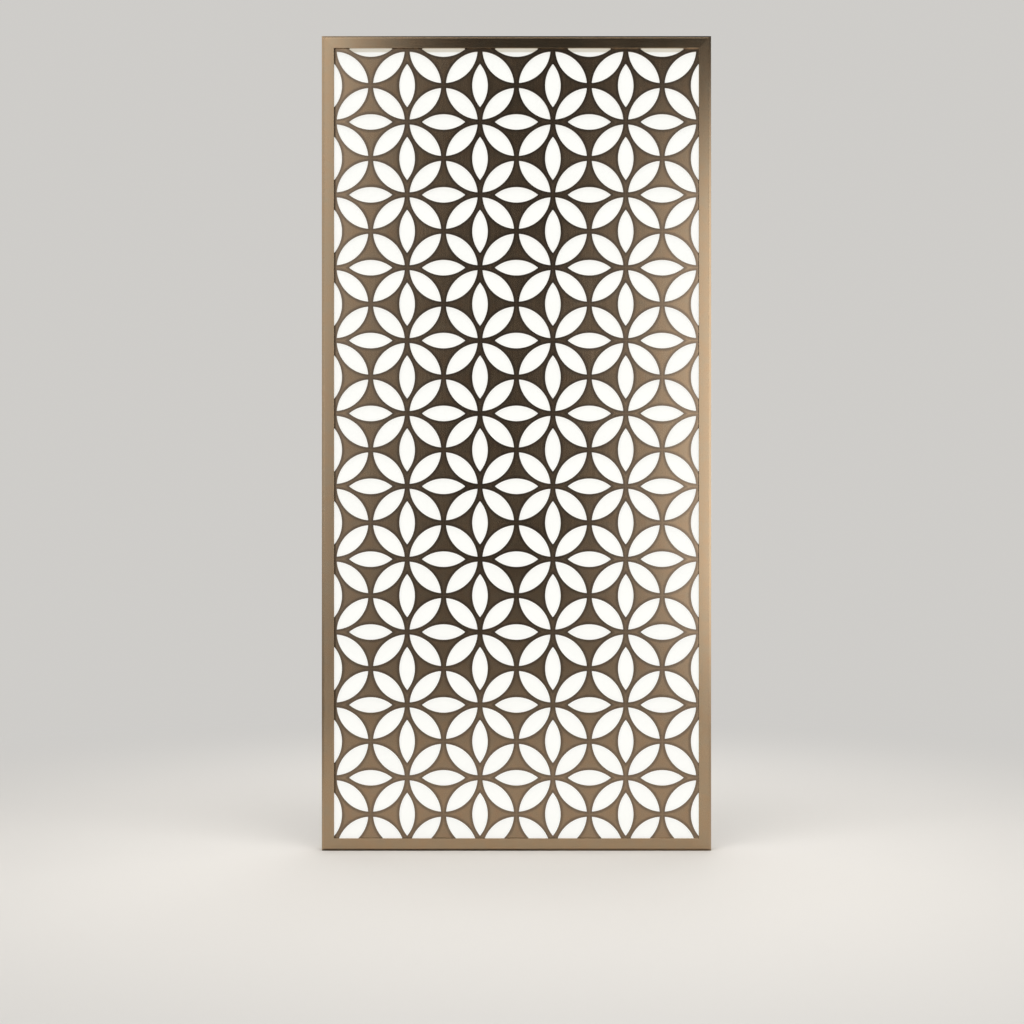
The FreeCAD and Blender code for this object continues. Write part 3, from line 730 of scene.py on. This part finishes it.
@dataclass
class CutPanel:
    """The cut metal sheet, its leaves cut off behind the lip of the frame."""

    leafwork: Leafwork = LEAFWORK
    border: float = 9 * MILLIMETRE
    eased_edge: float = 0.3 * MILLIMETRE
    circle_steps: int = 96
    smooth_angle: float = math.radians(30)
    end_facing: float = 0.9

    def leaf_tool(self, name: str, half_width: float, low: float, high: float) -> bpy.types.Object:
        """A cutting tool in the shape of a leaf, wider at the sheet's faces to ease the edges.

        Args:
            name: The tool's name.
            half_width: Half the leaf's width.
            low: The sheet's front face, along Y.
            high: The sheet's back face.

        Returns:
            The tool, lying along X at the origin.
        """
        arc = self.leafwork.arc
        discs = []
        for side in (-1, 1):
            deselect_all()
            bpy.ops.mesh.primitive_cylinder_add(
                vertices=self.circle_steps, radius=arc,
                depth=high - low - 2 * self.eased_edge, rotation=(math.pi / 2, 0, 0),
                location=(0, (low + high) / 2, side * (arc - half_width)))
            bpy.ops.object.transform_apply()
            discs.append(bpy.context.object)
        leaf, other = discs
        combine(leaf, other, "INTERSECT")
        leaf.name = name

        half_length = math.sqrt(2 * half_width * arc - half_width ** 2)
        flare = (1 + self.eased_edge / half_length, 1, 1 + self.eased_edge / half_width)
        for direction in (-1, 1):
            select_in_edit(leaf, Element.FACES,
                           lambda face: face.normal.y * direction > self.end_facing)
            outward = (0, direction * self.eased_edge, 0)
            bpy.ops.mesh.extrude_region_move(TRANSFORM_OT_translate={"value": outward})
            bpy.ops.transform.resize(value=flare, center_override=(0, 0, 0))
            beyond = (0, direction * (high - low), 0)
            bpy.ops.mesh.extrude_region_move(TRANSFORM_OT_translate={"value": beyond})
            bpy.ops.object.mode_set(mode="OBJECT")
        return leaf

    def copy_of(self, tool: bpy.types.Object, x: float, z: float,
                angle: float) -> bpy.types.Object:
        """A copy of a tool with its own mesh, turned and moved in the plane of the sheet.

        Args:
            tool: The tool.
            x: Where the copy's middle goes, along X.
            z: Where it goes, along Z.
            angle: How it is turned, from X towards Z.

        Returns:
            The copy.
        """
        select_only(tool)
        bpy.ops.object.duplicate()
        made = bpy.context.object
        made.location = (x, 0, z)
        made.rotation_euler = (0, -angle, 0)
        bpy.ops.object.transform_apply()
        return made

    def lattice(self, low: float, high: float) -> bpy.types.Object:
        """All the leaves of the pattern as one tool.

        Args:
            low: The sheet's front face, along Y.
            high: The sheet's back face.

        Returns:
            The tool.
        """
        work = self.leafwork
        step = work.diagonal_step
        straight = self.leaf_tool("straight_leaf", work.straight_width / 2, low, high)
        diagonal = self.leaf_tool("diagonal_leaf", work.arc - step, low, high)
        middle_x = work.left_line + work.pitch / 2
        middle_z = work.top_line - work.pitch / 2
        leaves = [self.copy_of(straight, middle_x, work.top_line, 0),
                  self.copy_of(straight, work.left_line, middle_z, math.pi / 2)]
        for quarter in range(4):
            angle = math.pi / 4 + quarter * math.pi / 2
            leaves.append(self.copy_of(diagonal, middle_x + step * math.cos(angle),
                                       middle_z + step * math.sin(angle), angle))
        for tool in (straight, diagonal):
            bpy.data.objects.remove(tool)
        select_only(*leaves)
        bpy.ops.object.join()
        cell = bpy.context.object
        repeats = ((work.columns + 1, (work.pitch, 0, 0)), (work.rows, (0, 0, -work.pitch)))
        for count, offset in repeats:
            apply_modifier(cell, "ARRAY", count=count, use_relative_offset=False,
                           use_constant_offset=True, constant_offset_displace=offset)
        return cell

    def build(self) -> bpy.types.Object:
        """Cuts the lattice out of the sheet, in place of the construction node.

        Returns:
            The panel.
        """
        low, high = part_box("jali_panel")
        leaves = self.lattice(low.y, high.y)
        margin = Vector((self.border, -self.border, self.border))
        combine(leaves, block("window", low + margin, high - margin), "INTERSECT")
        sheet = block("jali_panel_cut", low, high)
        combine(sheet, leaves, "DIFFERENCE")
        select_only(sheet)
        bpy.ops.object.shade_smooth_by_angle(angle=self.smooth_angle)
        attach(sheet, SCREEN_BODY)
        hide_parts("jali_panel")
        return sheet


class Axis(IntEnum):
    """The axes of the shared frame, by their places in a vector."""

    X = 0
    Y = 1
    Z = 2


@dataclass
class FrameBar:
    """One bar of the frame, with the long edges that show eased."""

    node: str
    finish: SatinBronze
    along: Axis
    easing: float = 0.5 * MILLIMETRE
    easing_steps: int = 3
    merge_distance: float = 0.002 * MILLIMETRE
    flat_angle: float = math.radians(0.5)
    smooth_angle: float = math.radians(40)

    def shows(self, start: Vector, end: Vector, least_run: float) -> bool:
        """Says whether an edge runs along the bar on the outside of the frame.

        Args:
            start: One end of the edge.
            end: The other end.
            least_run: How far along the bar such an edge goes at least.

        Returns:
            Whether it is such an edge.
        """
        if abs((end - start)[self.along]) < least_run:
            return False
        across = [axis for axis in Axis if axis != self.along]
        return any(abs(start[axis] - corner[axis]) < self.merge_distance
                   for axis in across for corner in CAD_BOX)

    def build(self) -> bpy.types.Object:
        """Eases a copy of the construction mesh, in place of the node.

        Returns:
            The bar.
        """
        bar = bpy.data.objects.new(f"{self.node}_eased", NODES[self.node].data.copy())
        bpy.context.scene.collection.objects.link(bar)
        select_in_edit(bar, Element.FACES, lambda face: True)
        bpy.ops.mesh.customdata_custom_splitnormals_clear()
        bpy.ops.mesh.remove_doubles(threshold=self.merge_distance)
        bpy.ops.mesh.dissolve_limited(angle_limit=self.flat_angle)
        bpy.ops.object.mode_set(mode="OBJECT")
        low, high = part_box(self.node)
        half_length = (high - low)[self.along] / 2
        points = bar.data.vertices
        select_in_edit(
            bar, Element.EDGES,
            lambda edge: self.shows(*(points[end].co for end in edge.vertices), half_length))
        bpy.ops.mesh.bevel(offset=self.easing, segments=self.easing_steps, affect="EDGES")
        bpy.ops.object.mode_set(mode="OBJECT")
        bpy.ops.object.shade_smooth_by_angle(angle=self.smooth_angle)
        apply_modifier(bar, "WEIGHTED_NORMAL", keep_sharp=True)
        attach(bar, SCREEN_BODY)
        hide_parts(self.node)
        dress([bar], self.finish)
        return bar


@dataclass
class Screen:
    """The frame's bars, and the other construction nodes by the finish that each has."""

    bars: tuple[FrameBar, ...] = (
        FrameBar("left_stile", BRONZE_UPRIGHT, Axis.Z),
        FrameBar("right_stile", BRONZE_UPRIGHT, Axis.Z),
        FrameBar("top_rail", BRONZE_LEVEL, Axis.X),
        FrameBar("bottom_rail", BRONZE_LEVEL, Axis.X))
    mill_finished: tuple[str, ...] = ("corner_cleat", "retainer_left", "retainer_right",
                                      "retainer_top", "retainer_bottom")
    plated: tuple[str, ...] = ("corner_screws", "retainer_screws", "back_screws",
                               "driver_screws", "wall_inserts", "foot_insert", "foot_stud")
    rubber: tuple[str, ...] = ("gasket", "cable_grommet")
    white_parts: tuple[str, ...] = ("bar_connectors", "lead_clips", "low_voltage_lead",
                                    "board_pillars")
    black_parts: tuple[str, ...] = ("driver_components", "foot_pad")
    driver_shell: tuple[str, ...] = ("driver_case", "driver_cover")

    @staticmethod
    def named(*starts: str) -> list[bpy.types.Object]:
        """The construction nodes whose names start in one of these ways."""
        return [piece for name, piece in sorted(NODES.items()) if name.startswith(starts)]

    def dress(self) -> None:
        """Gives every construction node its finish and builds the bars."""
        for bar in self.bars:
            dress([NODES[bar.node]], bar.finish)
            bar.build()
        dress(self.named(*self.mill_finished), MILL_ALUMINIUM)
        dress(self.named(*self.plated), ZINC_PLATE)
        dress(self.named(*self.rubber), BLACK_RUBBER)
        dress(self.named(*self.white_parts), WHITE_PLASTIC)
        dress(self.named(*self.black_parts), BLACK_PLASTIC)
        dress(self.named(*self.driver_shell), DRIVER_METAL)
        dress(self.named("driver_board"), CIRCUIT_BOARD)
        dress(self.named("led_bar"), LED_BOARD)
        dress(self.named("led_lenses"), LENS_CLEAR)
        dress(self.named("back_panel"), DARK_COAT)
        dress(self.named("jali_panel"), BRONZE_SHEET)
        dress(self.named("diffuser_sheet"), OPAL)


@dataclass(frozen=True)
class SoftBox:
    """A rectangular studio light with feathered edges; its glow is how bright its face looks."""

    name: str
    place: Colour
    aim: Colour
    width: float
    height: float
    glow: float
    feather: float = 0.5
    foot_share: float = 1.0
    spread: float = 180.0

    def shade(self, light: bpy.types.AreaLight) -> None:
        """Feathers the face towards its edges and dims it towards its foot.

        Args:
            light: The light's data.
        """
        light.use_nodes = True
        graph = Graph(light.node_tree)
        face = graph.node("ShaderNodeNewGeometry", output="Parametric")
        across, up = (graph.node("ShaderNodeSeparateXYZ", None, {"Vector": face}, letter)
                      for letter in "XY")
        sides = (0.5 - abs(across - 0.5)).smooth_step(0.0, self.feather / self.width)
        ends = (0.5 - abs(up - 0.5)).smooth_step(0.0, self.feather / self.height)
        fall = up * (1.0 - self.foot_share) + self.foot_share
        shader = graph.node("ShaderNodeEmission", None, {"Strength": sides * ends * fall})
        graph.node_output("ShaderNodeOutputLight", shader)

    def build(self) -> bpy.types.Object:
        """Sets the light up; it isn't seen itself.

        Returns:
            The light.
        """
        deselect_all()
        bpy.ops.object.light_add(type="AREA", location=self.place)
        made = bpy.context.object
        made.name = self.name
        made.data.shape = "RECTANGLE"
        made.data.size, made.data.size_y = self.width, self.height
        made.data.energy = self.glow * math.pi * self.width * self.height
        made.data.spread = math.radians(self.spread)
        way = Vector(self.aim) - Vector(self.place)
        made.rotation_euler = way.to_track_quat("-Z", "Y").to_euler()
        made.visible_camera = False
        self.shade(made.data)
        return made


@dataclass
class Studio:
    """A pale floor that runs out into an even backdrop, soft lights and the camera."""

    backdrop: Colour = (0.62, 0.607, 0.585)
    floor_tone: Colour = (0.80, 0.77, 0.725)
    floor_size: float = 60.0
    fade_near: float = 0.6
    fade_far: float = 3.2
    ambient: Colour = (0.045, 0.045, 0.045)
    camera_distance: float = 5.0
    camera_height: float = 0.8696
    camera_aside: float = -0.01144
    picture_width: float = 1024.0
    screen_pixels: float = 389.8
    sensor: float = 36.0
    boxes: tuple[SoftBox, ...] = (
        SoftBox("overhead", (0.0, -1.5, 4.2), (0.0, -1.5, 0.0), 4.6, 2.4, 2.3, spread=110.0),
        SoftBox("overhead_behind", (0.0, 2.4, 4.2), (0.0, 2.4, 0.0), 5.0, 2.4, 1.9, spread=110.0),
        SoftBox("ceiling_left", (-1.3, 0.5, 4.2), (-1.3, 0.5, 0.0), 2.2, 1.6, 1.05, 0.8),
        SoftBox("front_left", (-1.33, -3.4, 2.0), (-1.33, 0.0, 2.0), 1.9, 4.4, 2.25, 0.67, 0.3),
        SoftBox("front_right", (1.34, -3.4, 1.31), (1.34, 0.0, 1.31), 2.0, 3.13, 2.45, 0.8),
        SoftBox("side_left", (-3.2, 0.25, 2.0), (-0.5, 0.25, 2.0), 1.8, 4.2, 1.5, 0.6, 0.25),
        SoftBox("side_right", (3.2, 0.25, 1.28), (0.5, 0.25, 1.28), 1.8, 3.0, 2.1, 0.8),
        SoftBox("behind", (0.6, 4.2, 3.0), (0.0, 0.0, 1.0), 2.6, 2.0, 4.0),
        SoftBox("corner_front_left", (-3.3, -2.8, 1.2), (0.0, 0.0, 1.2), 2.6, 2.2, 0.5, 0.9,
                spread=70.0),
        SoftBox("corner_front_right", (3.3, -2.8, 1.2), (0.0, 0.0, 1.2), 2.6, 2.2, 0.5, 0.9,
                spread=70.0),
        SoftBox("corner_back_left", (-3.0, 3.0, 1.2), (0.0, 0.0, 1.2), 2.6, 2.2, 0.6, 0.9,
                spread=70.0),
        SoftBox("corner_back_right", (3.0, 3.0, 1.2), (0.0, 0.0, 1.2), 2.6, 2.2, 0.6, 0.9,
                spread=70.0),
    )

    def build_floor(self) -> None:
        """The floor, which fades into the backdrop away from the screen."""
        deselect_all()
        bpy.ops.mesh.primitive_grid_add(x_subdivisions=2, y_subdivisions=2, size=self.floor_size)
        floor = bpy.context.object
        floor.name = "studio_floor"
        surface = bpy.data.materials.new("studio_floor")
        surface.use_nodes = True
        graph = Graph(surface.node_tree)
        reach = graph.node("ShaderNodeVectorMath", {"operation": "LENGTH"},
                           {0: graph.position()}, "Value")
        seen = graph.node("ShaderNodeLightPath", output="Is Camera Ray")
        matt = graph.node("ShaderNodeBsdfDiffuse", None, {"Color": (*self.floor_tone, 1.0)})
        distant = graph.node("ShaderNodeEmission", None, {"Color": (*self.backdrop, 1.0)})
        faded = graph.node("ShaderNodeMixShader", None, {
            0: reach.smooth_step(self.fade_near, self.fade_far) * seen, 1: matt, 2: distant})
        graph.node_output("ShaderNodeOutputMaterial", faded)
        floor.data.materials.append(surface)

    def build_world(self) -> None:
        """An even pale backdrop to look at, and a dimmer room to light the screen."""
        world = bpy.data.worlds.new("studio")
        bpy.context.scene.world = world
        world.use_nodes = True
        graph = Graph(world.node_tree)
        seen = graph.node("ShaderNodeLightPath", output="Is Camera Ray")
        tone = graph.blend(seen, self.ambient, self.backdrop)
        graph.node_output("ShaderNodeOutputWorld",
                          graph.node("ShaderNodeBackground", None, {"Color": tone}))

    def build_camera(self) -> None:
        """A level camera square to the screen, with the photograph's framing."""
        deselect_all()
        front = CAD_BOX[0].y
        width = CAD_BOX[1].x - CAD_BOX[0].x
        bpy.ops.object.camera_add(
            location=(self.camera_aside, front - self.camera_distance, self.camera_height),
            rotation=(math.pi / 2, 0, 0))
        camera = bpy.context.object
        focal_pixels = self.screen_pixels / width * self.camera_distance
        camera.data.sensor_width = self.sensor
        camera.data.lens = focal_pixels / self.picture_width * self.sensor
        bpy.context.scene.camera = camera

    def build(self) -> None:
        """Sets up the floor, the light and the camera."""
        self.build_floor()
        self.build_world()
        for box in self.boxes:
            box.build()
        self.build_camera()
        bpy.context.scene.view_settings.view_transform = "Standard"


def main() -> None:
    """Builds the panel, dresses every piece and sets up the studio."""
    logging.basicConfig(level=logging.INFO, format="%(name)s: %(message)s")
    Screen().dress()
    dress([CutPanel().build()], BRONZE_SHEET)
    Studio().build()


if __name__ == "__main__":
    main()
